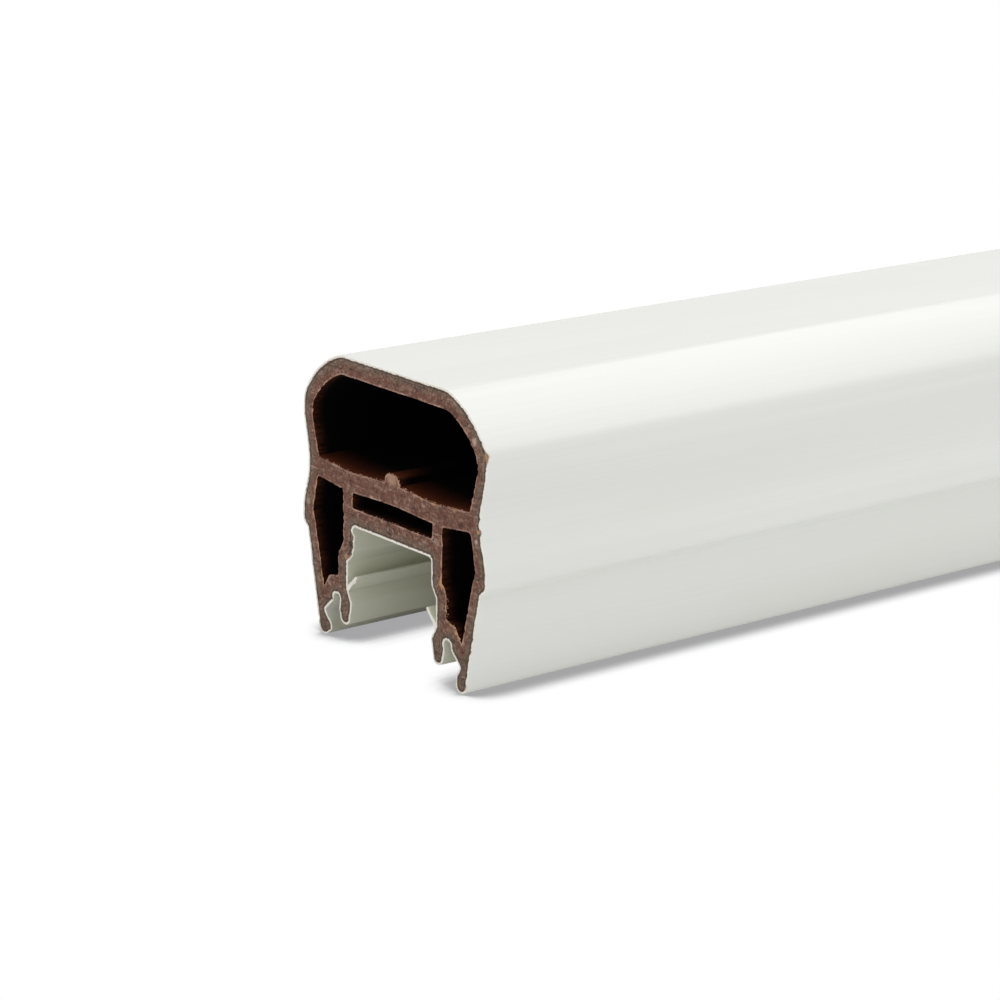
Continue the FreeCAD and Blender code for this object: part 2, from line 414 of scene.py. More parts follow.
# Millimetres, as the frame was drawn. Heights go up from the floor.
section = {
    "capWall": 0.8,
    "channelDepth": 37.1,
    "plateWall": 4.8,
    "middleHeight": 4.7,
    "middleArch": 0.8,
    "deckWall": 6.2,
    "deckSag": 1.1,
    "crownClear": 27.7,
    "sideWall": 3.7,
    "flankWall": 4.2,
    "skirtWall": 3.2,
    "toeWall": 4.1,
    "webWall": 4.6,
    "legWall": 4.0,
    "crownFlat": 50.0,
    "crownSetback": 0.3,
    "waistSetback": 3.5,
    "shoulderSetback": 7.0,
    "shoulderFall": 3.7,
    "browFall": 14.6,
    "browHeight": 6.3,
    "waistDrop": 3.2,
    "roofSetback": 2.8,
    "roofFall": 3.2,
    "cheekLift": 4.4,
    "ribWidth": 6.8,
    "ribHeight": 3.0,
    "ribTaper": 0.3,
    "swellRise": 1.8,
    "swellHeight": 5.8,
    "stepIn": 2.3,
    "stepHeight": 2.3,
    "channelWidth": 38.4,
    "undercut": 2.4,
    "jogDrop": 8.5,
    "jogHeight": 3.8,
    "undercutFloor": 17.0,
    "hookBottom": 5.8,
    "hookWall": 4.7,
    "hookToe": 2.6,
    "noseHeight": 12.9,
    "noseReach": 0.2,
    "barbHeight": 9.9,
    "barbReach": 0.3,
    "grooveTop": 14.3,
    "grooveNeck": 4.5,
    "grooveFlare": 0.4,
    "flareDrop": 2.2,
    "grooveMouth": 7.4,
    "pocketReach": 9.3,
    "pocketHeight": 8.1,
    "footWall": 2.9,
    "toeLift": 4.6,
    "roofRise": 1.5,
    "chamberLow": 14.6,
    "sillHeight": 20.2,
    "sillFall": 1.0,
    "sillRun": 2.8,
}

# Corner radii.
corner = {
    "brow": 6.0,
    "shoulder": 31.0,
    "roof": 28.0,
    "cheek": 7.0,
    "waist": 20.0,
    "swell": 3.0,
    "step": 1.3,
    "foot": 1.7,
    "pocket": 1.5,
    "groove": 2.1,
    "hook": 1.25,
    "nose": 1.0,
    "undercut": 1.6,
    "channel": 2.2,
    "deck": 60.0,
    "rib": 2.3,
    "ribRoot": 0.6,
    "chamber": 0.8,
    "chamberToe": 0.4,
}

s = section
r = corner
coreLow = s["capWall"]
coreTop = railHeight - s["capWall"]
ceiling = s["channelDepth"] + s["capWall"]
middleFloor = ceiling + s["plateWall"]
middleRoof = middleFloor + s["middleHeight"]
deck = middleRoof + s["middleArch"] + s["deckWall"]
crownRoof = deck + s["crownClear"]
crownEdge = s["crownFlat"] / 2
swellX = railWidth / 2 - s["capWall"]
crownX = swellX - s["crownSetback"]
waistX = swellX - s["waistSetback"]
shoulderX = crownX - s["shoulderSetback"]
swellTop = ceiling + s["swellRise"]
swellLow = swellTop - s["swellHeight"]
stepX = swellX - s["stepIn"]
stepZ = swellLow - s["stepHeight"]
channelX = s["channelWidth"] / 2 + s["capWall"]
undercutX = channelX + s["undercut"]
jogTop = ceiling - s["jogDrop"]
jogLow = jogTop - s["jogHeight"]
legX = channelX + s["legWall"]
middleX = legX - s["webWall"]
hookX = channelX + s["hookWall"]
neckX = hookX + s["grooveNeck"]
footX = hookX + s["grooveMouth"]
footOuterX = footX + s["footWall"]


def mirrored(corners):
    return [(-x, z, radius) for x, z, radius in reversed(corners)]


def coreCorners():
    grooveRoof = s["grooveTop"] + s["capWall"]
    hookLow = s["hookBottom"] + s["capWall"]
    hookEdge = hookX - r["hook"] / 2
    half = [
        (crownEdge, coreTop, r["brow"]),
        (shoulderX, coreTop - s["shoulderFall"], r["shoulder"]),
        (crownX, coreTop - s["browFall"], r["cheek"]),
        (crownX, coreTop - s["browFall"] - s["browHeight"], r["cheek"]),
        (waistX, deck - s["waistDrop"], r["waist"]),
        (swellX, swellTop, r["swell"]),
        (swellX, swellLow, r["step"]),
        (stepX, stepZ, r["step"]),
        (footOuterX, coreLow, r["foot"]),
        (footX, coreLow, r["foot"]),
        (footX, s["toeLift"], r["step"]),
        (hookX + s["pocketReach"], s["pocketHeight"], r["pocket"]),
        (neckX + s["grooveFlare"], s["grooveTop"] - s["flareDrop"], r["groove"]),
        (neckX, grooveRoof, r["groove"]),
        (hookX - s["barbReach"], grooveRoof, r["groove"]),
        (hookX + s["barbReach"], s["barbHeight"], r["swell"]),
        (hookEdge, hookLow, r["hook"]),
        (hookEdge - s["hookToe"], hookLow, r["hook"]),
        (channelX + s["noseReach"], s["noseHeight"], r["nose"]),
        (undercutX, s["undercutFloor"], r["undercut"]),
        (undercutX, jogLow, r["undercut"]),
        (channelX, jogTop, r["undercut"]),
        (channelX, ceiling, r["channel"]),
    ]
    return half + mirrored(half)


def crownChamberCorners():
    ribX = s["ribWidth"] / 2
    cornerX = waistX - s["sideWall"]
    sideX = crownX - s["sideWall"]
    sideLow = coreTop - s["browFall"] - s["browHeight"]
    half = [
        (ribX - s["ribTaper"], deck + s["ribHeight"], r["rib"]),
        (ribX, deck, r["ribRoot"]),
        ((ribX + cornerX) / 2, deck - s["deckSag"], r["deck"]),
        (cornerX, deck + s["ribTaper"], r["nose"]),
        (sideX, sideLow, r["cheek"]),
        (sideX, sideLow + s["cheekLift"], r["cheek"]),
        (shoulderX - s["roofSetback"], crownRoof - s["roofFall"], r["roof"]),
        (crownEdge + s["ribTaper"], crownRoof, r["brow"]),
    ]
    return half + mirrored(half)


def middleChamberCorners():
    return [
        (middleX, middleFloor, r["chamber"]),
        (middleX, middleRoof, r["chamber"]),
        (0.0, middleRoof + s["middleArch"], r["deck"]),
        (-middleX, middleRoof, r["chamber"]),
        (-middleX, middleFloor, r["chamber"]),
    ]


def legChamberCorners():
    slope = (stepX - footOuterX) / (stepZ - coreLow)
    lowX = stepX - slope * (stepZ - s["chamberLow"]) - s["toeWall"]
    innerX = legX + s["undercut"]
    roofX = waistX - s["sideWall"] + r["step"] / 2
    return [
        (legX, middleRoof, r["chamber"]),
        (roofX, middleRoof + s["roofRise"], r["undercut"]),
        (swellX - s["flankWall"], swellTop - s["swellHeight"] / 3, r["step"]),
        (stepX - slope - s["skirtWall"], stepZ + r["step"], r["swell"]),
        (lowX, s["chamberLow"], r["chamberToe"]),
        (lowX - s["sillRun"], s["sillHeight"] - s["sillFall"], r["undercut"]),
        (innerX, s["sillHeight"], r["chamber"]),
        (innerX, jogLow + r["undercut"], r["undercut"]),
        (legX, jogTop + r["undercut"], r["undercut"]),
    ]


def roundedLoop(corners, spacing, arcStep=6.0):
    # Points round a closed outline, each with the direction out of its material side.
    # Two arcs that would meet on one edge are both reduced until they fit it.
    points = [Vector((x, z)) for x, z, radius in corners]
    count = len(points)
    area = sum(points[i - 1].x * points[i].y - points[i].x * points[i - 1].y for i in range(count))
    turn = 1.0 if area < 0 else -1.0
    bends = []
    for i, point in enumerate(points):
        back = (points[i - 1] - point).normalized()
        ahead = (points[(i + 1) % count] - point).normalized()
        bends.append((back, ahead, back.angle(ahead) / 2))
    reach = [corners[i][2] / math.tan(bends[i][2]) for i in range(count)]
    share = [1.0] * count
    for i in range(count):
        after = (i + 1) % count
        room = (points[i] - points[after]).length * 0.98
        fitted = min(1.0, room / (reach[i] + reach[after]))
        share[i] = min(share[i], fitted)
        share[after] = min(share[after], fitted)
    loop = []
    ends = []
    for i, point in enumerate(points):
        back, ahead, half = bends[i]
        tangent = reach[i] * share[i]
        radius = tangent * math.tan(half)
        centre = point + (back + ahead).normalized() * (tangent / math.cos(half))
        first = point + back * tangent - centre
        last = point + ahead * tangent - centre
        sweep = math.pi - 2 * half
        steps = max(2, math.ceil(math.degrees(sweep) / arcStep), math.ceil(sweep * radius / spacing))
        travel = -back
        outward = Vector((-travel.y, travel.x)) * turn
        facing = 1.0 if first.dot(outward) > 0 else -1.0
        direction = 1.0 if first.x * last.y - first.y * last.x > 0 else -1.0
        arc = []
        for k in range(steps + 1):
            angle = direction * sweep * k / steps
            spoke = Vector((first.x * math.cos(angle) - first.y * math.sin(angle),
                            first.x * math.sin(angle) + first.y * math.cos(angle)))
            arc.append((centre + spoke, spoke.normalized() * facing))
        ends.append(arc)
    for i, arc in enumerate(ends):
        following = ends[(i + 1) % count][0][0]
        loop.extend(arc)
        start = arc[-1][0]
        gap = following - start
        pieces = max(1, math.ceil(gap.length / spacing))
        for k in range(1, pieces):
            loop.append((start + gap * (k / pieces), arc[-1][1]))
    return loop


def loopPoints(loop, offset=0.0):
    return np.array([[p.x + n.x * offset, p.y + n.y * offset] for p, n in loop])


wallRows = {
    "rows": 25,
    "crowding": 3.2,              # how strongly the rows gather at the two ends
}


def sweptWallTree():
    # A wall that follows a closed outline and runs the length of the rail.
    tree = newTree("sweptWall", ["Length", "Offset", "Rows", "Crowding", "Finish"])
    book = Book(tree)
    given = book.node("NodeGroupInput")
    outline = given.pick("Geometry")
    rows = given.pick("Rows")
    around = book.node("GeometryNodeAttributeDomainSize", {}, {"Geometry": outline}, "Point Count")
    grid = book.node("GeometryNodeMeshGrid", {}, {"Vertices X": around + 1, "Vertices Y": rows})
    index = book.node("GeometryNodeInputIndex")
    row = index % rows
    # A trace is added so that a whole number is never rounded down.
    station = (index / rows + 0.0001).floor() % around
    place = book.node("GeometryNodeInputPosition")
    named = {"data_type": "FLOAT_VECTOR"}
    outward = book.node("GeometryNodeInputNamedAttribute", named, {"Name": "outward"})
    sample = {"data_type": "FLOAT_VECTOR", "domain": "POINT"}
    base = book.node("GeometryNodeSampleIndex", sample, {0: outline, "Value": place, "Index": station})
    lean = book.node("GeometryNodeSampleIndex", sample, {0: outline, "Value": outward, "Index": station})
    pushed = book.node("ShaderNodeVectorMath", {"operation": "SCALE"}, {0: lean, 3: given.pick("Offset")})
    moved = book.node("ShaderNodeVectorMath", {"operation": "ADD"}, {0: base, 1: pushed})
    share = row / (rows - 1) * 2 - 1
    spread = 1 - (1 - abs(share)) ** given.pick("Crowding")
    along = share.sign() * spread * given.pick("Length") * 0.5
    axes = {"X": book.part(moved, "X"), "Y": along, "Z": book.part(moved, "Z")}
    spot = book.node("ShaderNodeCombineXYZ", {}, axes)
    placed = book.node("GeometryNodeSetPosition", {}, {"Geometry": grid, "Position": spot})
    closed = book.node("GeometryNodeMergeByDistance", {}, {"Geometry": placed, "Distance": weld / 2})
    closeTree(book, closed, given.pick("Finish"))
    return tree


def runTree(tree, source, values):
    # Runs a tree on a mesh and returns the result as a plain mesh.
    holder = bpy.data.objects.new("holder", source)
    bpy.context.scene.collection.objects.link(holder)
    modifier = holder.modifiers.new("tree", "NODES")
    modifier.node_group = tree
    for item in tree.interface.items_tree:
        if item.in_out == "INPUT" and item.name in values:
            modifier[item.identifier] = values[item.name]
    depsgraph = bpy.context.evaluated_depsgraph_get()
    mesh = bpy.data.meshes.new_from_object(holder.evaluated_get(depsgraph))
    bpy.data.objects.remove(holder)
    return mesh


def outlineMesh(loop):
    mesh = bpy.data.meshes.new("outline")
    count = len(loop)
    edges = [(i, (i + 1) % count) for i in range(count)]
    mesh.from_pydata([(p.x * mm, 0.0, p.y * mm) for p, n in loop], edges, [])
    outward = mesh.attributes.new("outward", "FLOAT_VECTOR", "POINT")
    outward.data.foreach_set("vector", [v for p, n in loop for v in (n.x, 0.0, n.y)])
    return mesh


wallTree = sweptWallTree()


def sweptWall(loop, offset, finish):
    values = {
        "Length": railLength * mm,
        "Offset": offset * mm,
        "Rows": wallRows["rows"],
        "Crowding": wallRows["crowding"],
        "Finish": finish,
    }
    return runTree(wallTree, outlineMesh(loop), values)


wear = {
    "reach": 7.0,                 # how far in from an end the surfaces are disturbed, mm
    "wander": 0.09,               # sideways waviness of the sawn edges
    "tooth": 0.10,                # depth of the blade's marks
    "chip": 0.34,                 # deepest chip along a chamber's edge
    "chipWidth": 0.6,
}

# Places where the near end is damaged: x, z, radius and depth in from the end, mm.
capChips = [
    (43.9, 72.0, 1.9, 1.1),
    (41.1, 49.8, 1.1, 0.8),
    (39.0, 17.5, 0.8, 0.5),
    (38.2, 13.4, 0.8, 0.6),
    (-19.4, 33.4, 1.3, 1.0),
    (-19.6, 30.6, 1.2, 0.8),
    (-20.6, 27.6, 1.2, 1.1),
    (35.9, 2.4, 0.9, 0.7),
]
corePits = [
    (-32.4, 4.4, 0.5, 1.0),
    (-32.3, 2.5, 0.55, 0.9),
    (31.0, 10.2, 0.4, 0.4),
    (31.6, 8.9, 0.35, 0.4),
]
# Edges pushed sideways by the saw: x, z, radius, shift in x and in z.
burrs = [
    (-31.6, 3.2, 2.1, 2.0, 0.1),
    (24.6, 11.2, 0.7, 0.45, 0.0),
    (-20.0, 10.6, 0.9, 0.25, 0.1),
]


def ripple(x, z, size, seed):
    return noise.noise(Vector((x / size, z / size, seed)))


def wander(x, z, end):
    # Sideways shift shared by the core, the cap and the lips, so that they stay in touch.
    first = 3.7 + end * 11.3
    across = ripple(x, z, 6.1, first) + ripple(x, z, 1.3, first + 5) * 0.45
    upward = ripple(x, z, 6.3, first + 9) + ripple(x, z, 1.2, first + 14) * 0.45
    return across * wear["wander"], upward * wear["wander"]


def coreBite(x, z, end, chamberDistance):
    # How far the sawn face of the core lies in from the end.
    seed = 21.0 + end * 7.7
    bite = 0.16 + ripple(x, z, 1.1, seed) * 0.07 + ripple(x, z, 0.45, seed + 2) * 0.06
    blade = x * 0.93 + z * 0.37 + ripple(x, z, 9.0, seed + 4) * 2.0
    bite += math.sin(blade * 2.4) * wear["tooth"] * 0.35
    torn = max(0.0, ripple(x, z, 1.3, seed + 6) - 0.12)
    torn += max(0.0, ripple(x, z, 0.5, seed + 8) - 0.2) * 0.5
    edge = math.exp(-(chamberDistance / wear["chipWidth"]) ** 2)
    bite += torn * edge * wear["chip"] * 1.6
    pit = max(0.0, ripple(x, z, 0.8, seed + 11) - 0.42)
    bite += pit * 1.6
    if end < 0:
        for px, pz, radius, depth in corePits:
            bite += depth * math.exp(-((x - px) ** 2 + (z - pz) ** 2) / radius ** 2)
    return max(0.02, bite)


def capBite(x, z, end):
    seed = 51.0 + end * 6.1
    bite = 0.10 + ripple(x, z, 2.3, seed) * 0.10 + ripple(x, z, 0.7, seed + 3) * 0.05
    bite += max(0.0, ripple(x, z, 1.6, seed + 5) - 0.36) * 1.3
    if end < 0:
        for px, pz, radius, depth in capChips:
            ragged = 1.0 + ripple(x, z, 0.6, seed + 8) * 0.5
            bite += depth * ragged * math.exp(-((x - px) ** 2 + (z - pz) ** 2) / radius ** 2)
    return max(0.0, bite)


def distancesTo(points, loops, leans=None):
    # Distance from each point to the nearest edge of any of the loops. With leans, also
    # the sideways part of that edge's direction.
    blockSize = 2000                   # points at a time, to keep the arrays small
    best = np.full(len(points), 1e9)
    lean = np.zeros(len(points))
    for number, loop in enumerate(loops):
        run = np.roll(loop, -1, axis=0) - loop
        square = np.maximum((run ** 2).sum(1), 1e-12)
        for first in range(0, len(points), blockSize):
            chosen = slice(first, first + blockSize)
            block = points[chosen]
            gap = block[:, None, :] - loop[None, :, :]
            t = np.clip((gap * run[None]).sum(2) / square[None], 0, 1)
            off = np.sqrt(((gap - t[..., None] * run[None]) ** 2).sum(2))
            nearest = off.argmin(1)
            shortest = off[np.arange(len(block)), nearest]
            better = shortest < best[chosen]
            best[chosen][better] = shortest[better]
            if leans is not None:
                lean[chosen][better] = leans[number][nearest[better]]
    return best if leans is None else (best, lean)


def inside(points, loop):
    # Even-odd test.
    result = np.zeros(len(points), bool)
    for (ax, ay), (bx, by) in zip(loop, np.roll(loop, -1, axis=0)):
        if ay == by:
            continue
        crosses = (ay > points[:, 1]) != (by > points[:, 1])
        at = ax + (points[:, 1] - ay) * (bx - ax) / (by - ay)
        result ^= crosses & (points[:, 0] < at)
    return result


def pointsOf(mesh):
    flat = np.zeros(len(mesh.vertices) * 3, np.float32)
    mesh.vertices.foreach_get("co", flat)
    return flat.reshape(-1, 3).astype(float) / mm


def wearEnds(mesh, bite):
    # Moves what lies near either end in along the rail and a little sideways.
    spots = pointsOf(mesh)
    for i in range(len(spots)):
        x, y, z = spots[i]
        depth = railLength / 2 - abs(y)
        if depth >= wear["reach"]:
            continue
        end = -1 if y < 0 else 1
        fade = 1 - depth / wear["reach"]
        shiftX, shiftZ = wander(x, z, end)
        if end < 0:
            for bx, bz, radius, pushX, pushZ in burrs:
                share = math.exp(-((x - bx) ** 2 + (z - bz) ** 2) / radius ** 2)
                shiftX += pushX * share
                shiftZ += pushZ * share
        spots[i, 1] = end * (railLength / 2 - depth - bite(i, x, z, end) * fade)
        spots[i, 0] = x + shiftX * fade ** 3
        spots[i, 2] = z + shiftZ * fade ** 3
    spots[:, 0] = np.clip(spots[:, 0], -railWidth / 2, railWidth / 2)
    spots[:, 2] = np.clip(spots[:, 2], 0.0, railHeight)
    mesh.vertices.foreach_set("co", (spots * mm).astype(np.float32).ravel())
    mesh.update()


def finishPiece(name, built, finishes):
    # Puts a mesh in the scene as a piece of the object.
    mesh = bpy.data.meshes.new(name)
    built.to_mesh(mesh)
    built.free()
    for finish in finishes:
        mesh.materials.append(finish)
    mesh.shade_smooth()
    piece = bpy.data.objects.new(name, mesh)
    bpy.context.scene.collection.objects.link(piece)
    return piece


def markSharp(built, degrees):
    limit = math.radians(degrees)
    for edge in built.edges:
        faces = edge.link_faces
        if len(faces) == 2:
            differ = faces[0].material_index != faces[1].material_index
            edge.smooth = not (differ or edge.calc_face_angle(0.0) > limit)


def creaseFinishes(mesh):
    # A hard edge wherever two finishes meet.
    built = bmesh.new()
    built.from_mesh(mesh)
    markSharp(built, 180)
    built.to_mesh(mesh)
    built.free()


def storeFloat(mesh, name, values):
    attribute = mesh.attributes.new(name, "FLOAT", "POINT")
    attribute.data.foreach_set("value", np.asarray(values, np.float32))


core = {
    "spacing": 0.62,              # between points round the outlines, mm
    "grain": 0.50,                # between points on the sawn faces
    "rowRise": 0.866,             # from one row of points to the next, as a share of the grain
    "scatter": 0.2,
    "clearance": 0.55,            # between those points and an outline, the same way
    "seed": 41,
    "rim": 0.9,                   # width of the paler rim at a chamber
    "outerRim": 0.9,
    "skin": 4.5,                  # depth over which the greyer outer part turns redder
}

outsideLoop = roundedLoop(coreCorners(), core["spacing"])
legCorners = legChamberCorners()
chamberLoops = [
    roundedLoop(crownChamberCorners(), core["spacing"]),
    roundedLoop(middleChamberCorners(), core["spacing"]),
    roundedLoop(legCorners, core["spacing"]),
    roundedLoop(mirrored(legCorners), core["spacing"]),
]
outsideFlat = loopPoints(outsideLoop)
chamberFlats = [loopPoints(loop) for loop in chamberLoops]
print("outline points:", len(outsideFlat), [len(flat) for flat in chamberFlats])


def sawnFace():
    # Triangles that fill the section, even in size, with the chambers left open.
    rng = random.Random(core["seed"])
    low = outsideFlat.min(0)
    high = outsideFlat.max(0)
    step = core["grain"]
    rise = core["rowRise"]
    scatter = core["scatter"]
    grid = []
    rowCount = int((high[1] - low[1]) / (step * rise)) + 1
    for j in range(rowCount):
        for i in range(int((high[0] - low[0]) / step) + 1):
            x = low[0] + (i + 0.5 * (j % 2)) * step + rng.uniform(-scatter, scatter) * step
            z = low[1] + j * step * rise + rng.uniform(-scatter, scatter) * step
            grid.append((x, z))
    grid = np.array(grid)
    keep = inside(grid, outsideFlat)
    for flat in chamberFlats:
        keep &= ~inside(grid, flat)
    grid = grid[keep]
    grid = grid[distancesTo(grid, [outsideFlat] + chamberFlats) > step * core["clearance"]]
    points = []
    edges = []
    for flat in [outsideFlat] + chamberFlats:
        first = len(points)
        count = len(flat)
        points.extend(flat.tolist())
        edges.extend((first + i, first + (i + 1) % count) for i in range(count))
    points.extend(grid.tolist())
    made = delaunay_2d_cdt([Vector(p) for p in points], edges, [], 0, 1e-7, False)
    spots = np.array([[v.x, v.y] for v in made[0]])
    triangles = np.array([list(face) for face in made[2]])
    centres = spots[triangles].mean(1)
    keep = inside(centres, outsideFlat)
    for flat in chamberFlats:
        keep &= ~inside(centres, flat)
    return spots, triangles[keep]


def makeCore():
    built = bmesh.new()
    built.from_mesh(sweptWall(outsideLoop, 0.0, sawnComposite))
    outsideCount = len(built.faces)
    for loop in chamberLoops:
        built.from_mesh(sweptWall(loop, 0.0, chamberSkin))
    built.faces.ensure_lookup_table()
    for face in built.faces:
        face.material_index = 0 if face.index < outsideCount else 1
    spots, triangles = sawnFace()
    for end in (-1, 1):
        y = end * railLength / 2 * mm
        corners = [built.verts.new((x * mm, y, z * mm)) for x, z in spots]
        for a, b, c in triangles:
            built.faces.new((corners[a], corners[b], corners[c])).material_index = 0
    bmesh.ops.remove_doubles(built, verts=built.verts, dist=weld)
    bmesh.ops.recalc_face_normals(built, faces=built.faces)
    piece = finishPiece("compositeCore", built, [sawnComposite, chamberSkin])
    mesh = piece.data
    spots = pointsOf(mesh)
    onFace = np.abs(np.abs(spots[:, 1]) - railLength / 2) < 0.002
    faceSpots = spots[onFace][:, [0, 2]]
    chamberGap = np.zeros(len(spots))
    outsideGap = np.zeros(len(spots))
    facing = np.zeros(len(spots))
    leans = [np.array([-n.x for p, n in loop]) for loop in chamberLoops]
    chamberGap[onFace], facing[onFace] = distancesTo(faceSpots, chamberFlats, leans)
    outsideGap[onFace] = distancesTo(faceSpots, [outsideFlat])
    storeFloat(mesh, "chamberRim", np.clip(1 - chamberGap / core["rim"], 0, 1))
    storeFloat(mesh, "outsideRim", np.clip(1 - outsideGap / core["outerRim"], 0, 1))
    storeFloat(mesh, "skinDepth", np.clip(outsideGap / core["skin"], 0, 1))
    storeFloat(mesh, "rimFacing", np.clip(facing, 0, 1))
    wearEnds(mesh, lambda i, x, z, end: coreBite(x, z, end, chamberGap[i]))
    creaseFinishes(mesh)
    print("core:", len(mesh.polygons), "faces")
    return piece


cap = {
    "edgeSteps": (0.0, 0.22, 0.45, 0.66, 0.72, 0.77, 0.8),      # across the sawn edge, mm
    "roundOver": 0.10,            # fall of its outer edge
    "roundFrom": 0.8,             # share of the wall at which that starts
    "roundSpan": 0.2,
}


def makeCap():
    # Skin of even thickness round the core, open nowhere but at its two sawn ends.
    built = bmesh.new()
    built.from_mesh(sweptWall(outsideLoop, 0.0, satinCap))
    built.from_mesh(sweptWall(outsideLoop, s["capWall"], satinCap))
    for face in built.faces:
        face.material_index = 0
    count = len(outsideLoop)
    for end in (-1, 1):
        rings = []
        for step in cap["edgeSteps"]:
            flat = loopPoints(outsideLoop, step)
            y = end * railLength / 2 * mm
            rings.append([built.verts.new((x * mm, y, z * mm)) for x, z in flat])
        for ring, following in zip(rings, rings[1:]):
            for i in range(count):
                after = (i + 1) % count
                corners = (ring[i], ring[after], following[after], following[i])
                built.faces.new(corners).material_index = 1
    bmesh.ops.remove_doubles(built, verts=built.verts, dist=weld)
    bmesh.ops.recalc_face_normals(built, faces=built.faces)
    piece = finishPiece("capSkin", built, [satinCap, sawnCapEdge])
    mesh = piece.data
    spots = pointsOf(mesh)
    atEnd = np.abs(np.abs(spots[:, 1]) - railLength / 2) < wear["reach"]
    across = np.zeros(len(spots))
    across[atEnd] = distancesTo(spots[atEnd][:, [0, 2]], [outsideFlat]) / s["capWall"]
    storeFloat(mesh, "acrossWall", np.clip(across, 0, 1))

    def bite(i, x, z, end):
        rounded = max(0.0, across[i] - cap["roundFrom"]) / cap["roundSpan"]
        return capBite(x, z, end) + cap["roundOver"] * rounded ** 2

    wearEnds(mesh, bite)
    creaseFinishes(mesh)
    print("cap:", len(mesh.polygons), "faces")
    return piece


lip = {
    "wall": 0.9,
    "rootWall": 1.35,
    "reach": 4.4,
    "rise": 4.6,
    "height": 17.2,
    "buried": 0.35,               # into the cap, so that no gap shows
    "tip": 0.38,
    "spacing": 0.35,
}


def lipCorners():
    # A fin that leans in and up, a little thicker where it springs from the wall.
    lean = math.hypot(lip["reach"], lip["rise"])
    alongX = -lip["reach"] / lean
    alongZ = lip["rise"] / lean
    faceX = undercutX - s["capWall"]
    rootX = faceX - alongX * lip["buried"]
    rootZ = lip["height"] - alongZ * lip["buried"]
    tipX = faceX - lip["reach"]
    tipZ = lip["height"] + lip["rise"]
    rootHalf = lip["rootWall"] / 2
    tipHalf = lip["wall"] / 2
    return [
        (rootX + alongZ * rootHalf, rootZ - alongX * rootHalf, 0.05),
        (rootX - alongZ * rootHalf, rootZ + alongX * rootHalf, 0.05),
        (tipX - alongZ * tipHalf, tipZ + alongX * tipHalf, lip["tip"]),
        (tipX + alongZ * tipHalf, tipZ - alongX * tipHalf, lip["tip"]),
    ]


def makeLip(name, corners):
    loop = roundedLoop(corners, lip["spacing"], 20.0)
    built = bmesh.new()
    built.from_mesh(sweptWall(loop, 0.0, satinCap))
    for face in built.faces:
        face.material_index = 0
    for end in (-1, 1):
        y = end * railLength / 2 * mm
        rim = [built.verts.new((p.x * mm, y, p.y * mm)) for p, n in loop]
        built.faces.new(rim).material_index = 1
    bmesh.ops.remove_doubles(built, verts=built.verts, dist=weld)
    bmesh.ops.triangulate(built, faces=[face for face in built.faces if len(face.verts) > 4])
    bmesh.ops.recalc_face_normals(built, faces=built.faces)
    markSharp(built, 60)
    piece = finishPiece(name, built, [satinCap, sawnCapEdge])
    storeFloat(piece.data, "acrossWall", [1.0] * len(piece.data.vertices))
    wearEnds(piece.data, lambda i, x, z, end: capBite(x, z, end) * 1.5)
    return piece


fringe = {
    "spacing": 0.34,
    "size": 0.24,                 # half the width of a middling crumb, mm
    "share": 0.70,
    "thinned": 0.25,              # share of that in the narrow chambers
    "seed": 5,
    "setBack": 0.45,              # from the rail's end, mm
    # Lowest and highest shift and stretch of a crumb, and its widest turn.
    "shift": ((-0.00015, 0.0, -0.00022), (0.00015, 0.0004, 0.00002)),
    "stretch": ((0.5, 0.5, 0.5), (1.7, 1.1, 1.4)),
    "turn": 6.28,
    # From where to where across each chamber's floor, in the order of the chambers, mm.
    "runs": [(-34.0, 34.0), (-17.5, 17.5), (26.0, 33.0), (-33.0, -26.0)],
}


def fringeTree():
    # Crumbs of torn wood clinging to an edge.
    tree = newTree("sawFringe", ["Spacing", "Crumb Size", "Share", "Seed", "Facing", "Finish"])
    book = Book(tree)
    given = book.node("NodeGroupInput")
    seed = given.pick("Seed")
    curve = book.node("GeometryNodeMeshToCurve", {}, {"Mesh": given.pick("Geometry")})
    spaced = book.node("GeometryNodeResampleCurve", {"mode": "LENGTH"},
                       {"Curve": curve, "Length": given.pick("Spacing")})

    def anyBetween(low, high, seed):
        links = {0: low, 1: high, "Seed": seed}
        return book.node("FunctionNodeRandomValue", {"data_type": "FLOAT_VECTOR"}, links)

    shift = anyBetween(*fringe["shift"], seed)
    facing = book.node("ShaderNodeCombineXYZ", {}, {"X": 1.0, "Y": given.pick("Facing"), "Z": 1.0})
    turnedShift = book.node("ShaderNodeVectorMath", {"operation": "MULTIPLY"}, {0: shift, 1: facing})
    points = book.node("GeometryNodeSetPosition", {}, {"Geometry": spaced, "Offset": turnedShift})
    crumb = book.node("GeometryNodeMeshIcoSphere", {},
                      {"Radius": given.pick("Crumb Size"), "Subdivisions": 1})
    turn = anyBetween((0.0, 0.0, 0.0), (fringe["turn"],) * 3, seed + 3)
    size = anyBetween(*fringe["stretch"], seed + 7)
    choice = book.node("FunctionNodeRandomValue", {"data_type": "BOOLEAN"},
                       {"Probability": given.pick("Share"), "Seed": seed + 11}, 3)
    clinging = book.node("GeometryNodeInstanceOnPoints", {},
                         {"Points": points, "Selection": choice, "Instance": crumb,
                          "Rotation": turn, "Scale": size})
    closeTree(book, clinging, given.pick("Finish"))
    return tree


def edgeRun(loop, low, high, y):
    # The floor of a chamber's outline, as a line at the sawn end.
    floor = sorted((p.x, p.y) for p, n in loop if low < p.x < high and n.y < -0.35)
    mesh = bpy.data.meshes.new("edgeRun")
    edges = [(i, i + 1) for i in range(len(floor) - 1)]
    mesh.from_pydata([(x * mm, y, z * mm) for x, z in floor], edges, [])
    return mesh


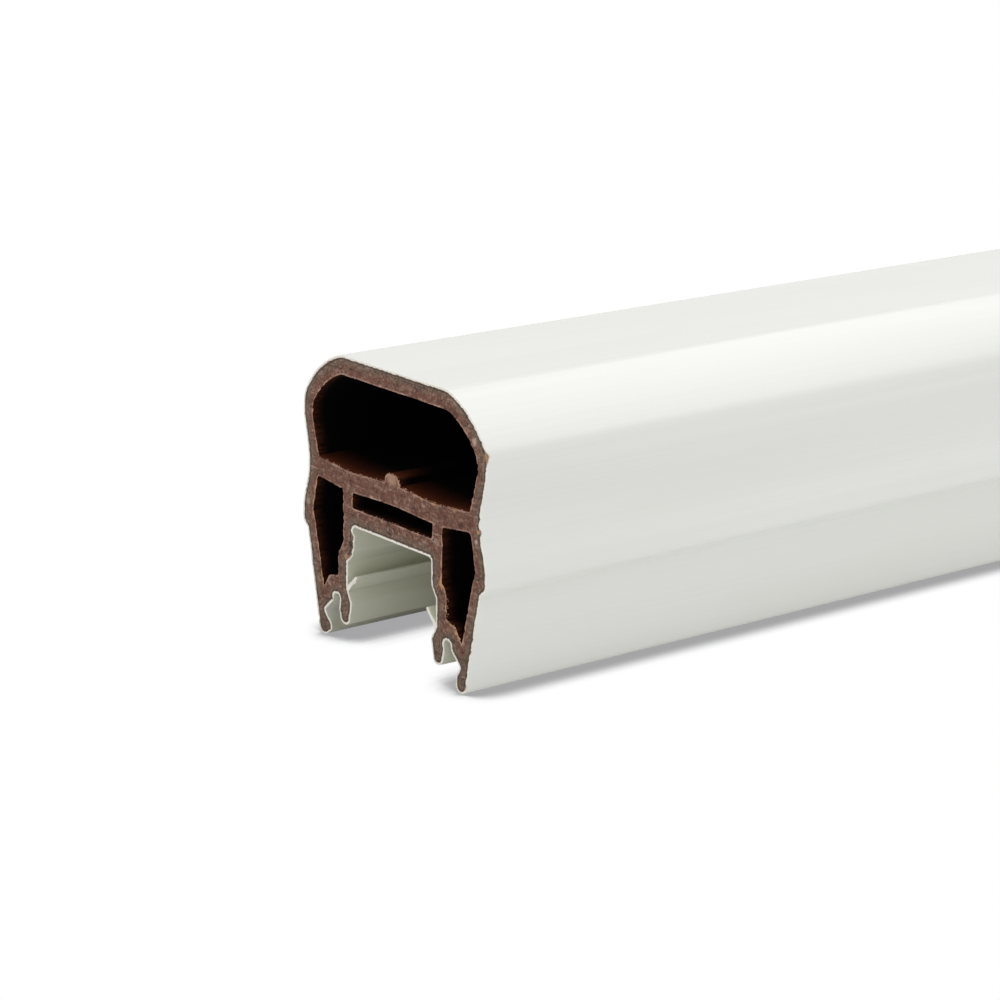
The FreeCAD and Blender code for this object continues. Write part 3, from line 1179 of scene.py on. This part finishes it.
def makeFringe(name, end):
    # Along the floors of the crown chamber, the middle chamber and both leg chambers.
    y = end * (railLength / 2 - fringe["setBack"]) * mm
    runs = [edgeRun(loop, low, high, y) for loop, (low, high) in zip(chamberLoops, fringe["runs"])]
    joined = bmesh.new()
    for number, run in enumerate(runs):
        values = {
            "Spacing": fringe["spacing"] * mm,
            "Crumb Size": fringe["size"] * mm,
            "Share": fringe["share"] if number == 0 else fringe["share"] * fringe["thinned"],
            "Seed": fringe["seed"] + number + 20 * end,
            "Facing": float(-end),
            "Finish": tornFibre,
        }
        joined.from_mesh(runTree(crumbTree, run, values))
    bmesh.ops.recalc_face_normals(joined, faces=joined.faces)
    piece = finishPiece(name, joined, [tornFibre])
    print("fringe:", len(piece.data.polygons), "faces")
    return piece


crumbTree = fringeTree()
for name, end in (("sawFringeNear", -1), ("sawFringeFar", 1)):
    fringePiece = makeFringe(name, end)
    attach(fringePiece, "root")

compositeCore = makeCore()
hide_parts("composite_core")
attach(compositeCore, "root")

capSkin = makeCap()
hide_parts("cap_skin")
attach(capSkin, "root")

gripLipRight = makeLip("gripLipRight", lipCorners())
gripLipLeft = makeLip("gripLipLeft", mirrored(lipCorners()))
for piece, node in ((gripLipRight, "grip_lip_right"), (gripLipLeft, "grip_lip_left")):
    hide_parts(node)
    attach(piece, "root")
print("lips made")


studio = {
    "floor": 0.83,
    "glow": 0.05,                 # what the floor gives of its own, to light the channel
    "world": 0.66,
    "shadow": 0.375,              # how dark the floor is where the rail touches it
    "shadowReach": 0.015,
    "shadowEdge": (0.50, 0.84),   # openness at which the shadow is full and gone
    "shadowRays": 16,
    "floorReach": 6.0,
}


def makeFloor():
    # Pale and even, with a soft shadow close round what stands on it.
    floorMesh = bpy.data.meshes.new("floor")
    reach = studio["floorReach"]
    corners = [(-reach, -reach, 0), (reach, -reach, 0), (reach, reach, 0), (-reach, reach, 0)]
    floorMesh.from_pydata(corners, [], [(0, 1, 2, 3)])
    floor = bpy.data.objects.new("floor", floorMesh)
    bpy.context.scene.collection.objects.link(floor)
    material, book, place = newMaterial("paleFloor")
    level = studio["floor"]
    matt = book.node("ShaderNodeBsdfDiffuse", {}, {"Color": (level, level, level, 1)})
    glow = book.node("ShaderNodeEmission", {}, {"Color": (1, 1, 1, 1), "Strength": studio["glow"]})
    plain = book.node("ShaderNodeAddShader", {}, {0: matt, 1: glow})
    rays = {"samples": studio["shadowRays"]}
    reached = {"Distance": studio["shadowReach"]}
    openness = book.node("ShaderNodeAmbientOcclusion", rays, reached, "AO")
    tone = studio["shadow"]
    light = book.ramp(openness, *studio["shadowEdge"])
    pale = book.mix(light, (tone, tone, tone * 1.02, 1), (1, 1, 1, 1))
    lit = book.node("ShaderNodeEmission", {}, {"Color": pale, "Strength": 1.0})
    seen = book.node("ShaderNodeLightPath", {}, {}, "Is Camera Ray")
    shown = book.node("ShaderNodeMixShader", {}, {0: seen, 1: plain, 2: lit})
    clear = book.node("ShaderNodeBsdfTransparent")
    back = book.node("ShaderNodeNewGeometry", {}, {}, "Backfacing")
    both = book.node("ShaderNodeMixShader", {}, {0: back, 1: shown, 2: clear})
    book.node("ShaderNodeOutputMaterial", {}, {"Surface": both})
    floorMesh.materials.append(material)


def makeLight(name, place, aim, size, power, diffuse=True, glossy=True):
    data = bpy.data.lights.new(name, "AREA")
    data.shape = "RECTANGLE"
    data.size, data.size_y = size
    data.energy = power
    light = bpy.data.objects.new(name, data)
    light.location = place
    light.rotation_euler = (Vector(aim) - Vector(place)).to_track_quat("-Z", "Y").to_euler()
    light.visible_diffuse = diffuse
    light.visible_glossy = glossy
    bpy.context.scene.collection.objects.link(light)


def makeWorld():
    world = bpy.data.worlds.new("studio")
    world.use_nodes = True
    world.node_tree.nodes.clear()
    book = Book(world.node_tree)
    light = book.node("ShaderNodeBackground", {}, {"Color": (1, 1, 1, 1), "Strength": studio["world"]})
    backdrop = book.node("ShaderNodeBackground", {}, {"Color": (1, 1, 1, 1), "Strength": 1.0})
    seen = book.node("ShaderNodeLightPath", {}, {}, "Is Camera Ray")
    shown = book.node("ShaderNodeMixShader", {}, {0: seen, 1: light, 2: backdrop})
    book.node("ShaderNodeOutputWorld", {}, {"Surface": shown})
    bpy.context.scene.world = world


makeFloor()
makeWorld()
makeLight("softboxAbove", place=(0.18, 0.0, 1.65), aim=(0, 0, 0.05), size=(1.2, 1.8),
          power=15.6, glossy=False)
makeLight("shoulderGleam", place=(0.42, 1.2, 1.9), aim=(0.42, 0.0, 1.9), size=(3.0, 1.6),
          power=14.0, diffuse=False)


view = {
    "azimuth": 51.24,
    "elevation": 16.02,
    "roll": 1.02,
    "lens": 112.13,
    "sensor": 36.0,
    "clip": (0.05, 50.0),
    "place": (0.6949, -0.8226, 0.2990),
}


def makeCamera():
    data = bpy.data.cameras.new("camera")
    data.lens = view["lens"]
    data.sensor_width = view["sensor"]
    data.clip_start, data.clip_end = view["clip"]
    camera = bpy.data.objects.new("camera", data)
    bpy.context.scene.collection.objects.link(camera)
    a = math.radians(view["azimuth"])
    e = math.radians(view["elevation"])
    back = Vector((math.sin(a) * math.cos(e), -math.cos(a) * math.cos(e), math.sin(e)))
    right = (-back).cross(Vector((0, 0, 1))).normalized()
    up = right.cross(-back)
    tilt = math.radians(view["roll"])
    across = right * math.cos(tilt) + up * math.sin(tilt)
    upright = up * math.cos(tilt) - right * math.sin(tilt)
    camera.matrix_world = Matrix((
        (across.x, upright.x, back.x, view["place"][0]),
        (across.y, upright.y, back.y, view["place"][1]),
        (across.z, upright.z, back.z, view["place"][2]),
        (0, 0, 0, 1),
    ))
    bpy.context.scene.camera = camera


makeCamera()
bpy.context.scene.view_settings.view_transform = "Standard"
bpy.context.scene.view_settings.look = "None"
print("stage, light and camera set")
